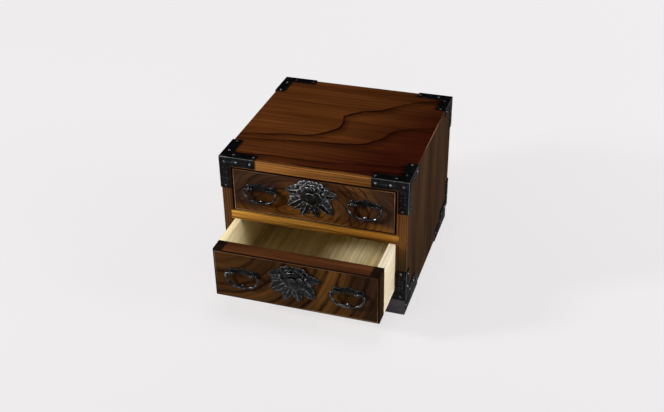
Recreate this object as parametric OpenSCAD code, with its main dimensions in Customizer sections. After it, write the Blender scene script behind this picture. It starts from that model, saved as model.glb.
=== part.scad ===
// Small tansu chest with two drawers, iron corner fittings, bail handles and cast peony ornaments.
// Millimetres, +Z up. The front faces -Y. The origin is on the floor under the middle of the carcase.

/* [Carcase] */
// Width of the wooden carcase
body_w = 300; // [286:1:400]
// Depth of the wooden carcase, front to back
body_d = 305; // [250:1:400]
// Thickness of the side boards
side_t = 17; // [14:0.5:24]
// Thickness of the top board
top_t = 16; // [13:0.5:24]
// Thickness of the bottom board
bottom_t = 16.5; // [13:0.5:24]
// Thickness of the back panel
back_t = 7; // [5:0.5:12]
// Depth of the rabbet that the back panel sits in, into each board
rabbet = 6; // [3:0.5:9]

/* [Middle rail and shelf] */
// Height of the rail between the drawers
rail_t = 16; // [12:0.5:24]
// Depth of the rail, front to back
rail_d = 32; // [20:1:60]
// How far the rail is housed into each side board
housing = 4; // [2:0.5:8]
// Width of the runners behind the rail
runner_w = 20; // [14:1:40]
// Thickness of the dust shelf between the runners
shelf_t = 5; // [3:0.5:8]
// Depth of the grooves that hold the dust shelf
shelf_groove = 5; // [3:0.5:8]

/* [Plinth] */
// Height of the plinth frame
plinth_h = 28; // [20:1:50]
// Thickness of the plinth rails
plinth_t = 18; // [12:0.5:28]
// How far the plinth is set in from the carcase at the sides
plinth_inset_x = 2.2; // [2:0.1:6]
// How far the plinth is set in from the carcase at the front and back
plinth_inset_y = 0.5; // [0:0.1:6]

/* [Drawers] */
// Height of the lower drawer front
lower_front_h = 85.5; // [78:0.5:120]
// Height of the upper drawer front
upper_front_h = 77; // [72:0.5:120]
// Thickness of the drawer fronts
front_t = 26; // [18:0.5:34]
// Bevel along the front arrises of the drawer fronts
front_bevel = 1.2; // [0.5:0.1:3]
// Thickness of the drawer sides
drawer_side_t = 10.5; // [8:0.5:14]
// Thickness of the drawer backs
drawer_back_t = 9; // [6:0.5:14]
// How far a drawer back stands below the top of the drawer sides
drawer_back_drop = 5; // [0:0.5:15]
// Thickness of the drawer bottoms
drawer_floor_t = 5; // [3:0.5:8]
// Height of the drawer bottoms above the lower edge of the drawer sides
drawer_floor_lift = 3; // [2:0.5:8]
// Depth of the grooves that hold the drawer bottoms
floor_groove = 5; // [3:0.5:6]
// Length of the tongue that joins a drawer side to its front
tongue_l = 9; // [5:0.5:14]
// Thickness of that tongue
tongue_t = 6; // [4:0.5:7]
// How far that tongue stops below the top of the front
tongue_stop = 12; // [6:1:20]
// Gap above and below a drawer front
gap_z = 0.5; // [0.4:0.1:1.5]
// Gap beside a drawer front
gap_x = 0.9; // [0.4:0.1:2]
// Running gap under the drawer sides
gap_run = 0.3; // [0.2:0.05:0.4]
// Gap between a closed drawer and the back panel
gap_back = 2; // [1:0.5:6]
// How far the lower drawer stands open
lower_open = 90; // [0:1:150]

/* [Corner irons] */
// Thickness of the iron sheet
iron_t = 1.5; // [0.8:0.1:1.5]
// Length of the level legs of the corner irons, from the corner of the wood
iron_leg = 57; // [40:1:80]
// Length of their upright legs, from the corner of the wood
iron_upright = 54; // [40:1:80]
// Width of the legs on the top board and of the upright legs on the sides
iron_w = 15.5; // [12:0.5:24]
// Width of the legs along the upper edge of the sides
iron_lip = 10; // [8:0.5:16]
// Bare wood left between the irons and the drawer openings
iron_reveal = 1.5; // [0.5:0.5:3]
// Length of the legs of the plinth irons
plinth_leg = 87; // [50:1:110]

/* [Dome nails] */
// Radius of a nail head
nail_head_r = 2.3; // [1.5:0.1:3]
// Height of a nail head
nail_head_h = 1.4; // [0.8:0.1:2]
// Radius of a nail shank
nail_r = 0.8; // [0.5:0.1:1]
// Depth that a nail is driven into the wood
nail_l = 7; // [4:0.5:9]
// Distance of the outermost nail of a leg from the corner
nail_far = 50; // [34:1:54]
// Distance of the middle nail of a leg from the corner
nail_mid = 27; // [22:1:32]
// Distance of the corner nail and the rows of nails from the outer edge
nail_row = 8; // [6:0.5:9]

/* [Handles] */
// Distance of a handle from the end of its drawer front
handle_end = 48; // [36:1:50]
// Distance of the handle axis below the top of the upper drawer front
upper_handle_drop = 30; // [24:1:40]
// Distance of the handle axis below the top of the lower drawer front
lower_handle_drop = 34; // [24:1:48]
// Distance between the two posts of a handle
post_gap = 38; // [30:1:44]
// Distance of the handle axis from the face of the drawer front
axis_out = 6.8; // [6.4:0.1:10]
// Radius of a post eye
eye_r = 3.6; // [3:0.1:4.4]
// Length of a post eye along the axis
eye_l = 5; // [4:0.5:7]
// Radius of the collar under a post
collar_r = 4.8; // [4:0.1:6]
// Radius of the shank of a post
shank_r = 1.8; // [1:0.1:2.5]
// Depth of the shank of a post in the drawer front
shank_l = 14; // [8:0.5:16]
// Thickness of a handle back plate
plate_t = 1.2; // [0.8:0.1:2]
// Radius of the bail rod
bail_r = 2; // [1.5:0.1:2.6]
// Radius of the bail where it turns in its posts
journal_r = 1.6; // [1:0.05:2.2]
// Running clearance of the bail in its posts
journal_gap = 0.06; // [0.02:0.01:0.1]
// Distance from the handle axis down to the middle of the bail rod
bail_drop = 23.5; // [22:0.5:30]
// Radius of the bends beside the posts
bend_r = 4.5; // [3.5:0.5:6]
// Radius of the two lower corners of a bail, as a share of the room that they have
corner_share = 0.9; // [0.5:0.05:0.95]
// Radius of the striking stud behind the bail
stud_r = 2.8; // [2:0.1:4]

/* [Ornament] */
// Width of the ornament
ornament_w = 84; // [70:1:90]
// Height of the ornament
ornament_h = 64; // [50:1:64]
// Distance of the ornament centre below the top of the upper drawer front
upper_ornament_drop = 35; // [33:0.5:42]
// Distance of the ornament centre below the top of the lower drawer front
lower_ornament_drop = 37.5; // [33:0.5:46]
// Thickness of the ornament at its leaf edges
leaf_edge = 1.6; // [1:0.1:3]
// Height of the blossom above the drawer front
blossom_h = 12; // [8:0.5:16]

/* [Hidden] */
eps = 0.5;          // overshoot of a cut past the face it opens
hole_play = 0.1;    // play of a shank in its hole, on the radius
round_fn = 48;      // facets of round parts
LOWER = 0;
UPPER = 1;
LEFT = -1;
RIGHT = 1;
FRONT = -1;
BACK = 1;

// Levels, from the floor up
lower_sill_z = plinth_h + bottom_t;
rail_z = lower_sill_z + lower_front_h + 2 * gap_z;
upper_sill_z = rail_z + rail_t;
top_under_z = upper_sill_z + upper_front_h + 2 * gap_z;
top_z = top_under_z + top_t;
sill_z = [lower_sill_z, upper_sill_z];
body_h = top_z - plinth_h;

// Plan
front_y = -body_d / 2;
back_y = body_d / 2;
inner_w = body_w - 2 * side_t;
panel_y = back_y - back_t;

// Drawers
front_w = inner_w - 2 * gap_x;
front_h = [lower_front_h, upper_front_h];
face_y = [front_y - lower_open, front_y];
drawer_l = body_d - back_t - gap_back;
side_h = [for (h = front_h) h + gap_z - gap_run];
drawer_inner_w = front_w - 2 * drawer_side_t;

// Handles and ornaments
handle_x = front_w / 2 - handle_end;
handle_drop = [lower_handle_drop, upper_handle_drop];
ornament_drop = [lower_ornament_drop, upper_ornament_drop];
post_x = post_gap / 2;
side_play = 0.3;                                  // between a post and the bail beside it
bend_x = post_x + eye_l / 2 + side_play;          // where a bail leaves its post
bail_half = bend_x + bend_r;                      // half width of a bail, rod centre to rod centre
stud_play = 0.3;                                  // between the stud and the bail that rests on it
stud_h = axis_out - bail_r - stud_play;
knob_r = journal_r + 0.8;

function top_of_front(level) = sill_z[level] + gap_z + front_h[level];
function handle_z(level) = top_of_front(level) - handle_drop[level];

stain = [0.30, 0.15, 0.08];
gold_stain = [0.50, 0.29, 0.12];
plain_wood = [0.87, 0.79, 0.62];
iron = [0.13, 0.13, 0.14];

// A box from its low corner to its high corner
module block(lo, hi) {
    translate(lo) cube(hi - lo);
}

// Carcase: four boards mitred at the corners, and a back panel in a rabbet
module through_depth() {
    translate([0, back_y, 0]) rotate([90, 0, 0]) linear_extrude(body_d) children();
}

module back_panel_block() {
    block(
        [-inner_w / 2 - rabbet, panel_y, lower_sill_z - rabbet],
        [inner_w / 2 + rabbet, back_y, top_under_z + rabbet]
    );
}

module back_rabbet() {
    block(
        [-inner_w / 2 - rabbet, panel_y, lower_sill_z - rabbet],
        [inner_w / 2 + rabbet, back_y + eps, top_under_z + rabbet]
    );
}

module top_board() {
    color(stain) difference() {
        through_depth() polygon([
            [-body_w / 2, top_z], [-inner_w / 2, top_under_z],
            [inner_w / 2, top_under_z], [body_w / 2, top_z],
        ]);
        back_rabbet();
    }
}

module bottom_board() {
    color(stain) difference() {
        through_depth() polygon([
            [-body_w / 2, plinth_h], [-inner_w / 2, lower_sill_z],
            [inner_w / 2, lower_sill_z], [body_w / 2, plinth_h],
        ]);
        back_rabbet();
    }
}

module side_board(side) {
    color(stain) difference() {
        through_depth() polygon([
            [side * body_w / 2, plinth_h], [side * inner_w / 2, lower_sill_z],
            [side * inner_w / 2, top_under_z], [side * body_w / 2, top_z],
        ]);
        back_rabbet();
        rail_block(eps);
    }
}

module back_panel() {
    color(stain) back_panel_block();
}

// Middle rail, with its ends housed in the side boards, and the shelf that it carries with two runners
module rail_block(forward) {
    block(
        [-inner_w / 2 - housing, front_y - forward, rail_z],
        [inner_w / 2 + housing, front_y + rail_d, upper_sill_z]
    );
}

module shelf_block() {
    block(
        [
            -inner_w / 2 + runner_w - shelf_groove, front_y + rail_d - shelf_groove,
            (rail_z + upper_sill_z - shelf_t) / 2
        ],
        [inner_w / 2 - runner_w + shelf_groove, panel_y, (rail_z + upper_sill_z + shelf_t) / 2]
    );
}

module mid_rail() {
    color(gold_stain) difference() {
        rail_block(0);
        shelf_block();
    }
}

module runner(side) {
    outer_x = inner_w / 2;
    color(plain_wood) difference() {
        block(
            [min(side * outer_x, side * (outer_x - runner_w)), front_y + rail_d, rail_z],
            [max(side * outer_x, side * (outer_x - runner_w)), panel_y, upper_sill_z]
        );
        shelf_block();
    }
}

module dust_shelf() {
    color(plain_wood) shelf_block();
}

// Plinth: four rails mitred at the corners
plinth_x = body_w / 2 - plinth_inset_x;
plinth_y = body_d / 2 - plinth_inset_y;

module plinth_long(way) {
    color(stain) linear_extrude(plinth_h) polygon([
        [-plinth_x, way * plinth_y], [-plinth_x + plinth_t, way * (plinth_y - plinth_t)],
        [plinth_x - plinth_t, way * (plinth_y - plinth_t)], [plinth_x, way * plinth_y],
    ]);
}

module plinth_side(side) {
    color(stain) linear_extrude(plinth_h) polygon([
        [side * plinth_x, -plinth_y], [side * (plinth_x - plinth_t), -plinth_y + plinth_t],
        [side * (plinth_x - plinth_t), plinth_y - plinth_t], [side * plinth_x, plinth_y],
    ]);
}

// Corner irons are drawn at the front right corner, on axes that run out of the wood, and mirrored from there.
// An iron lies on the outside of the wood, so its plates run from 0 to iron_t.
module at_corner(side, way, x, y, z) {
    mirror([side == LEFT ? 1 : 0, 0, 0])
        mirror([0, way == BACK ? 1 : 0, 0])
            translate([x, -y, z]) children();
}

// Plate on the front face: a bar along the edge and an upright
module front_plate(bar_w, upright_w, up) {
    lo_z = up > 0 ? 0 : -iron_upright;
    hi_z = up > 0 ? iron_upright : 0;
    bar_lo = up > 0 ? 0 : -bar_w;
    bar_hi = up > 0 ? bar_w : 0;
    block([-iron_leg, -iron_t, bar_lo], [iron_t, 0, bar_hi]);
    block([-upright_w, -iron_t, lo_z], [iron_t, 0, hi_z]);
}

// Plate on the side face, in the same way
module side_plate(bar_w, upright_w, up) {
    lo_z = up > 0 ? 0 : -iron_upright;
    hi_z = up > 0 ? iron_upright : 0;
    bar_lo = up > 0 ? 0 : -bar_w;
    bar_hi = up > 0 ? bar_w : 0;
    block([0, -iron_t, bar_lo], [iron_t, iron_leg, bar_hi]);
    block([0, -iron_t, lo_z], [iron_t, upright_w, hi_z]);
}

// Nail places on each face, as distances from the corner along the first and the second axis of that face.
// The faces have their own distances, so that no two shanks meet inside the wood.
top_far = nail_far + 3;
top_near = nail_row + 13;
side_far = nail_far - 3;
side_mid = nail_mid - 4;
top_face_nails = [[top_far, nail_row], [top_near, nail_row], [nail_row, top_near], [nail_row, top_far]];
front_face_nails = [
    for (d = [nail_row, nail_mid, nail_far]) [d, nail_row - 1],
    [nail_row, nail_far],
];
lip_nails = [[side_far, iron_lip / 2], [nail_row, side_mid], [nail_row, side_far]];
side_face_nails = [
    for (d = [side_mid, side_far]) [d, nail_row - 1],
    for (d = [side_mid, side_far]) [nail_row, d],
];
plinth_nail_x = [nail_row + 2, plinth_leg - nail_row];

// One dome nail. Its head stands on the iron and its shank goes down -Z.
module nail() {
    cap_r = (nail_head_r * nail_head_r + nail_head_h * nail_head_h) / (2 * nail_head_h);
    translate([0, 0, iron_t]) intersection() {
        translate([0, 0, nail_head_h - cap_r]) sphere(r = cap_r, $fn = round_fn);
        cylinder(r = nail_head_r + eps, h = nail_head_h + eps, $fn = round_fn);
    }
    translate([0, 0, -nail_l]) cylinder(r = nail_r, h = nail_l + iron_t, $fn = round_fn);
}

module shank_hole() {
    translate([0, 0, -eps]) cylinder(r = nail_r + hole_play, h = iron_t + 2 * eps, $fn = round_fn);
}

// Children stand at each nail place, with +Z out of the wood
module on_top(p) {
    translate([-p[0], p[1], 0]) children();
}

module on_front(p, up) {
    translate([-p[0], 0, up * p[1]]) rotate([90, 0, 0]) children();
}

module on_side(p, up) {
    translate([0, p[0], up * p[1]]) rotate([0, 90, 0]) children();
}

module at_top_iron_nails() {
    for (p = top_face_nails) on_top(p) children();
    for (p = front_face_nails) on_front(p, -1) children();
    for (p = lip_nails) on_side(p, -1) children();
}

module at_bottom_iron_nails() {
    for (p = front_face_nails) on_front(p, 1) children();
    for (p = side_face_nails) on_side(p, 1) children();
}

module at_plinth_iron_nails() {
    for (d = plinth_nail_x) on_front([d, plinth_h / 2], 1) children();
    for (d = [plinth_nail_x[0] - nail_row / 4, plinth_leg / 2, plinth_nail_x[1]])
        on_side([d, plinth_h / 2], 1) children();
}

module top_iron(side, way) {
    color(iron) at_corner(side, way, body_w / 2, body_d / 2, top_z) difference() {
        union() {
            block([-iron_leg, -iron_t, 0], [iron_t, iron_w, iron_t]);
            block([-iron_w, -iron_t, 0], [iron_t, iron_leg, iron_t]);
            front_plate(top_t - iron_reveal, side_t - iron_reveal, -1);
            side_plate(iron_lip, iron_w, -1);
        }
        at_top_iron_nails() shank_hole();
    }
}

module bottom_iron(side, way) {
    color(iron) at_corner(side, way, body_w / 2, body_d / 2, plinth_h) difference() {
        union() {
            front_plate(bottom_t - iron_reveal, side_t - iron_reveal, 1);
            side_plate(iron_w, iron_w, 1);
        }
        at_bottom_iron_nails() shank_hole();
    }
}

module plinth_iron(side, way) {
    color(iron) at_corner(side, way, plinth_x, plinth_y, 0) difference() {
        union() {
            block([-plinth_leg, -iron_t, 0], [iron_t, 0, plinth_h]);
            block([0, -iron_t, 0], [iron_t, plinth_leg, plinth_h]);
        }
        at_plinth_iron_nails() shank_hole();
    }
}

module top_nails() {
    color(iron) for (side = [LEFT, RIGHT], way = [FRONT, BACK])
        at_corner(side, way, body_w / 2, body_d / 2, top_z) at_top_iron_nails() nail();
}

module bottom_nails() {
    color(iron) for (side = [LEFT, RIGHT], way = [FRONT, BACK])
        at_corner(side, way, body_w / 2, body_d / 2, plinth_h) at_bottom_iron_nails() nail();
}

module plinth_nails() {
    color(iron) for (side = [LEFT, RIGHT], way = [FRONT, BACK])
        at_corner(side, way, plinth_x, plinth_y, 0) at_plinth_iron_nails() nail();
}

// Drawers: a thick front, two sides tongued into it, a back and a floor in grooves
function run_z(level) = sill_z[level] + gap_run;
function floor_z(level) = run_z(level) + drawer_floor_lift;

module floor_block(level) {
    block(
        [-drawer_inner_w / 2 - floor_groove, face_y[level] + front_t - floor_groove, floor_z(level)],
        [
            drawer_inner_w / 2 + floor_groove, face_y[level] + drawer_l,
            floor_z(level) + drawer_floor_t
        ]
    );
}

module tongue_block(level, side) {
    inner_x = drawer_inner_w / 2;
    block(
        [
            min(side * inner_x, side * (inner_x + tongue_t)), face_y[level] + front_t - tongue_l,
            floor_z(level) + 2 * drawer_floor_t
        ],
        [
            max(side * inner_x, side * (inner_x + tongue_t)), face_y[level] + front_t,
            top_of_front(level) - tongue_stop
        ]
    );
}

module beveled_front(level) {
    y = face_y[level];
    z = sill_z[level] + gap_z;
    h = front_h[level];
    b = front_bevel;
    intersection() {
        translate([0, 0, z]) linear_extrude(h) polygon([
            [-front_w / 2 + b, y], [front_w / 2 - b, y], [front_w / 2, y + b],
            [front_w / 2, y + front_t], [-front_w / 2, y + front_t], [-front_w / 2, y + b],
        ]);
        translate([-front_w / 2, 0, 0]) rotate([90, 0, 90]) linear_extrude(front_w) polygon([
            [y, z + b], [y + b, z], [y + front_t, z],
            [y + front_t, z + h], [y + b, z + h], [y, z + h - b],
        ]);
    }
}

module drawer_front(level) {
    color(stain) difference() {
        beveled_front(level);
        floor_block(level);
        for (side = [LEFT, RIGHT]) {
            tongue_block(level, side);
            at_posts(level, side) rotate([-90, 0, 0])
                translate([0, 0, -eps]) cylinder(r = shank_r + hole_play, h = shank_l + 2 * eps, $fn = round_fn);
        }
    }
}

module drawer_side(level, side) {
    outer_x = front_w / 2;
    inner_x = drawer_inner_w / 2;
    color(plain_wood) difference() {
        union() {
            block(
                [min(side * inner_x, side * outer_x), face_y[level] + front_t, run_z(level)],
                [max(side * inner_x, side * outer_x), face_y[level] + drawer_l, top_of_front(level)]
            );
            tongue_block(level, side);
        }
        floor_block(level);
    }
}

module drawer_back(level) {
    color(plain_wood) block(
        [
            -drawer_inner_w / 2, face_y[level] + drawer_l - drawer_back_t,
            floor_z(level) + drawer_floor_t
        ],
        [drawer_inner_w / 2, face_y[level] + drawer_l, top_of_front(level) - drawer_back_drop]
    );
}

module drawer_floor(level) {
    color(plain_wood) floor_block(level);
}

// Handles. Children stand at the middle of the handle axis, brought back to the face of the drawer front.
module at_handle(level, side) {
    translate([side * handle_x, face_y[level], handle_z(level)]) children();
}

module at_posts(level, side) {
    at_handle(level, side) for (s = [-1, 1]) translate([s * post_x, 0, 0]) children();
}

// Back plate: a bar between two round ends, with a cloud of three lobes above it and a small one below
lobe_r = 5;
plate_bar = 6.4;
plate_end_r = collar_r + 1;

module plate(level, side) {
    color(iron) at_handle(level, side) rotate([90, 0, 0]) linear_extrude(plate_t) difference() {
        union() {
            square([2 * post_x, plate_bar], center = true);
            for (s = [-1, 1]) {
                translate([s * post_x, 0]) circle(plate_end_r, $fn = round_fn);
                translate([s * lobe_r * 1.5, lobe_r * 0.5]) circle(lobe_r * 0.8, $fn = round_fn);
            }
            translate([0, lobe_r * 0.7]) circle(lobe_r, $fn = round_fn);
            translate([0, -plate_bar / 2]) circle(lobe_r * 0.5, $fn = round_fn);
        }
        for (s = [-1, 1]) translate([s * post_x, 0]) circle(shank_r + hole_play, $fn = round_fn);
    }
}

// Posts: a collar on the plate, a stem, an eye that the bail turns in, and a shank in the drawer front
collar_h = 1.4;
stem_r = 2.7;

module posts(level, side) {
    color(iron) at_posts(level, side) difference() {
        union() {
            rotate([90, 0, 0]) translate([0, 0, plate_t]) {
                cylinder(r = collar_r, h = collar_h, $fn = round_fn);
                cylinder(r = stem_r, h = axis_out - plate_t, $fn = round_fn);
            }
            rotate([-90, 0, 0]) translate([0, 0, -plate_t - eps])
                cylinder(r = shank_r, h = shank_l + plate_t + eps, $fn = round_fn);
            translate([-eye_l / 2, -axis_out, 0]) rotate([0, 90, 0])
                cylinder(r = eye_r, h = eye_l, $fn = round_fn);
        }
        translate([-eye_l / 2 - eps, -axis_out, 0]) rotate([0, 90, 0])
            cylinder(r = journal_r + journal_gap, h = eye_l + 2 * eps, $fn = round_fn);
    }
}

// Studs: a small dome behind the lowest point of each bail
stud_dome = 1.8;
stud_neck_r = stud_r * 0.7;

module studs(level) {
    cap_r = (stud_r * stud_r + stud_dome * stud_dome) / (2 * stud_dome);
    color(iron) for (side = [LEFT, RIGHT])
        at_handle(level, side) translate([0, 0, -bail_drop]) rotate([90, 0, 0]) {
            translate([0, 0, stud_h - stud_dome]) intersection() {
                translate([0, 0, stud_dome - cap_r]) sphere(r = cap_r, $fn = round_fn);
                cylinder(r = stud_r + eps, h = stud_dome + eps, $fn = round_fn);
            }
            cylinder(r = stud_neck_r, h = stud_h - stud_dome, $fn = round_fn);
            translate([0, 0, -nail_l]) cylinder(r = nail_r, h = nail_l + eps, $fn = round_fn);
        }
}

// Bail: a rod that runs down from a bend at each post and round two wide corners
bail_fall = bail_drop - bend_r;
corner_r = corner_share * min(bail_fall, bail_half);

module rod_arc(x, z, radius, from, turn) {
    translate([x, 0, z]) rotate([90, 0, 0]) rotate([0, 0, from])
        rotate_extrude(angle = turn, $fn = 2 * round_fn) translate([radius, 0])
            circle(bail_r, $fn = round_fn / 2);
}

module bail(level, side) {
    knob_x = post_x - eye_l / 2 - side_play - knob_r;
    corner_x = bail_half - corner_r;
    corner_z = corner_r - bail_drop;
    color(iron) at_handle(level, side) translate([0, -axis_out, 0]) {
        for (s = [0, 1]) mirror([s, 0, 0]) {
            rod_arc(corner_x, corner_z, corner_r, -90, 90);
            translate([bail_half, 0, corner_z])
                cylinder(r = bail_r, h = bail_fall - corner_r, $fn = round_fn);
            rod_arc(bend_x, -bend_r, bend_r, 0, 90);
            translate([knob_x, 0, 0]) rotate([0, 90, 0])
                cylinder(r = journal_r, h = bend_x - knob_x, $fn = round_fn);
            translate([knob_x, 0, 0]) sphere(r = knob_r, $fn = round_fn);
        }
        translate([-corner_x, 0, -bail_drop]) rotate([0, 90, 0])
            cylinder(r = bail_r, h = 2 * corner_x, $fn = round_fn);
    }
}

// Ornament: a cast peony, drawn in plan on a field from -50 to 50 both ways, then stretched to its width
// and height. It is one relief round the heart of the blossom. Its edge is a row of lobes, which are
// leaves below and at the sides and petals above.
// Lobes, going round: [direction of the tip, its distance, direction of the notch after it, its distance, leaf?]
blossom_at = [2, 29];
lobes = [
    [-8, 46.5, 3, 27, true],
    [19, 22.5, 31, 21.5, false], [44, 22, 58, 21, false], [73, 21.5, 87, 20.5, false],
    [101, 21, 116, 20.5, false], [130, 22, 145, 21.5, false], [160, 24, 172, 26, false],
    [189.5, 52.5, 199, 46, true], [208, 51, 214, 49, true], [228, 67, 233, 60, true],
    [239, 70, 244, 58, true], [252, 81, 257, 57, true], [265, 66, 269, 58, true],
    [275.5, 79.5, 289, 56, true], [301, 71.5, 307, 50, true], [318, 44, 335, 33, true],
];
half_steps = 3;

// How far the edge swells from a notch towards a tip, and how high the veins of a leaf stand
function swell(s, leafy) = leafy ? lookup(s, [[0, 0], [1 / 3, 0.58], [2 / 3, 0.66], [1, 1]]) : sin(90 * s);
function vein(s) = lookup(s, [[0, 0.1], [1 / 3, 0.75], [2 / 3, 0.3], [1, 1]]);

// Stations round the edge: [direction, distance, nearness to a tip, leaf?]
stations = [
    for (k = [0 : len(lobes) - 1], i = [0 : 2 * half_steps - 1])
        let (
            tip = lobes[k],
            before = lobes[(k + len(lobes) - 1) % len(lobes)],
            rising = i <= half_steps,
            s = (rising ? i : 2 * half_steps - i) / half_steps,
            from = rising ? before[2] - (k == 0 ? 360 : 0) : tip[2],
            low = rising ? before[3] : tip[3]
        )
        [from + (tip[0] - from) * s, low + (tip[1] - low) * swell(s, tip[4]), s, tip[4]]
];

// Relief at a station, from the heart outwards: [distance, height]
leaf_ridge = 3.2;
heart_r = 4.2;      // round heart of the blossom
inner_r = 10.5;     // rings of petals round it
middle_r = 15;
outer_r = 20;
step_w = 1.5;       // width of the step from one ring down to the next
function relief(a, r, s, leafy) =
    let (
        inner = inner_r * (1 + 0.09 * cos(5 * a)),
        middle = middle_r * (1 + 0.06 * cos(8 * a + 40)),
        outer = leafy ? outer_r * (1 + 0.04 * cos(9 * a)) : 0.9 * r,
        foot = leafy ? outer + step_w : 0.95 * r,
        foot_h = leafy ? leaf_edge + leaf_ridge * (0.3 + 0.5 * vein(s)) : 0.45 * blossom_h,
        half_out = leafy ? foot + (r - foot) * 0.55 : 0.985 * r,
        half_h = leafy ? leaf_edge + leaf_ridge * vein(s) : 0.36 * blossom_h
    )
    [
        [heart_r, 0.95 * blossom_h], [heart_r + step_w, 0.74 * blossom_h],
        [inner, (0.93 + 0.07 * cos(10 * a)) * blossom_h], [inner + step_w, 0.58 * blossom_h],
        [middle, (0.72 + 0.05 * cos(16 * a)) * blossom_h], [middle + step_w, 0.36 * blossom_h],
        [outer, (0.48 + 0.04 * cos(18 * a)) * blossom_h], [foot, foot_h],
        [half_out, half_h], [r, leaf_edge], [r, 0],
    ];

module peony() {
    reliefs = [
        for (p = stations)
            [for (q = relief(p[0], p[1], p[2], p[3])) [q[0] * cos(p[0]), q[0] * sin(p[0]), q[1]]]
    ];
    rows = len(reliefs[0]);
    count = len(reliefs);
    under = 1 + count * rows;
    points = concat([[0, 0, blossom_h]], [for (ring = reliefs) each ring], [[0, 0, 0]]);
    faces = [
        for (i = [0 : count - 1])
            let (a = 1 + i * rows, b = 1 + ((i + 1) % count) * rows)
            each concat(
                [[0, b, a], [under, a + rows - 1, b + rows - 1]],
                [for (j = [0 : rows - 2]) each [[a + j, b + j, b + j + 1], [a + j, b + j + 1, a + j + 1]]]
            )
    ];
    translate(blossom_at) polyhedron(points, faces);
}

module ornament(level) {
    color(iron)
        translate([0, face_y[level], top_of_front(level) - ornament_drop[level]])
            rotate([90, 0, 0]) scale([ornament_w / 100, ornament_h / 100, 1]) peony();
}

top_board();
bottom_board();
side_board(LEFT);  // left_side_board
side_board(RIGHT);  // right_side_board
back_panel();
mid_rail();
runner(LEFT);  // left_runner
runner(RIGHT);  // right_runner
dust_shelf();
plinth_long(FRONT);  // plinth_front
plinth_long(BACK);  // plinth_back
plinth_side(LEFT);  // plinth_left
plinth_side(RIGHT);  // plinth_right
top_iron(LEFT, FRONT);  // top_iron_front_left
top_iron(RIGHT, FRONT);  // top_iron_front_right
top_iron(LEFT, BACK);  // top_iron_back_left
top_iron(RIGHT, BACK);  // top_iron_back_right
bottom_iron(LEFT, FRONT);  // bottom_iron_front_left
bottom_iron(RIGHT, FRONT);  // bottom_iron_front_right
bottom_iron(LEFT, BACK);  // bottom_iron_back_left
bottom_iron(RIGHT, BACK);  // bottom_iron_back_right
plinth_iron(LEFT, FRONT);  // plinth_iron_front_left
plinth_iron(RIGHT, FRONT);  // plinth_iron_front_right
plinth_iron(LEFT, BACK);  // plinth_iron_back_left
plinth_iron(RIGHT, BACK);  // plinth_iron_back_right
top_nails();
bottom_nails();
plinth_nails();
drawer_front(UPPER);  // upper_drawer_front
drawer_side(UPPER, LEFT);  // upper_drawer_left_side
drawer_side(UPPER, RIGHT);  // upper_drawer_right_side
drawer_back(UPPER);  // upper_drawer_back
drawer_floor(UPPER);  // upper_drawer_floor
ornament(UPPER);  // upper_ornament
plate(UPPER, LEFT);  // upper_left_plate
plate(UPPER, RIGHT);  // upper_right_plate
posts(UPPER, LEFT);  // upper_left_posts
posts(UPPER, RIGHT);  // upper_right_posts
studs(UPPER);  // upper_studs
bail(UPPER, LEFT);  // upper_left_bail
bail(UPPER, RIGHT);  // upper_right_bail
drawer_front(LOWER);  // lower_drawer_front
drawer_side(LOWER, LEFT);  // lower_drawer_left_side
drawer_side(LOWER, RIGHT);  // lower_drawer_right_side
drawer_back(LOWER);  // lower_drawer_back
drawer_floor(LOWER);  // lower_drawer_floor
ornament(LOWER);  // lower_ornament
plate(LOWER, LEFT);  // lower_left_plate
plate(LOWER, RIGHT);  // lower_right_plate
posts(LOWER, LEFT);  // lower_left_posts
posts(LOWER, RIGHT);  // lower_right_posts
studs(LOWER);  // lower_studs
bail(LOWER, LEFT);  // lower_left_bail
bail(LOWER, RIGHT);  // lower_right_bail
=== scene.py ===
from math import cos, exp, pi, radians, sin

import bmesh
import bpy
from mathutils import Matrix, Vector


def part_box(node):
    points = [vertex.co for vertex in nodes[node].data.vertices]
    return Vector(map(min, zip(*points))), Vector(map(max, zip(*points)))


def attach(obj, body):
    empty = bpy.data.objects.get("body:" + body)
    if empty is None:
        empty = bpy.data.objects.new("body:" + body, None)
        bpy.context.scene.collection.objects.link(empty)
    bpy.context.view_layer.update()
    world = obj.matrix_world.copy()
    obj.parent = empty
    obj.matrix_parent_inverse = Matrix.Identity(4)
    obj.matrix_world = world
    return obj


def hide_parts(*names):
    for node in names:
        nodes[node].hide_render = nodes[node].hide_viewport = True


MM = 0.001

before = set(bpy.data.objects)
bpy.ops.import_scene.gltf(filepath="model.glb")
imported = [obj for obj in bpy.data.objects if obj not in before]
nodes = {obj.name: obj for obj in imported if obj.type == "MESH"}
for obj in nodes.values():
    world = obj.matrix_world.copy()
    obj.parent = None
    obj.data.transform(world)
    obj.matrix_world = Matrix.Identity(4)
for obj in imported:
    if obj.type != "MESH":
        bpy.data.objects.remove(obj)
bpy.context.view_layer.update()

LEVELS = ("upper", "lower")
SIDES = {"left": -1, "right": 1}
ENDS = {"front": -1, "back": 1}


# Camera, floor and light

# The camera was fitted to the chest's corners in the photograph. Its turn is in degrees, its lens in mm.
CAMERA_PLACE = (0.4247, -1.3458, 0.9566)
CAMERA_TURN = (58.3533, 0.8309, 17.7359)
CAMERA_LENS = 52.548
FILM_WIDTH = 36
NEAREST = 0.05
FARTHEST = 30

# Lamps: name, place, what it points at, side in metres, watts and colour
LAMPS = (
    ("window_lamp", (-2.25, -1.5, 1.3), (0, -0.05, 0.1), 0.45, 74, (1.0, 0.99, 0.97)),
    ("side_lamp", (2.5, -0.15, 0.85), (0, -0.05, 0.1), 1.0, 46, (1.0, 1.0, 1.0)),
    ("top_lamp", (0.2, -0.3, 2.6), (0, 0, 0.1), 1.2, 19, (1.0, 1.0, 1.0)),
)

FLOOR_SIZE = 9
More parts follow.
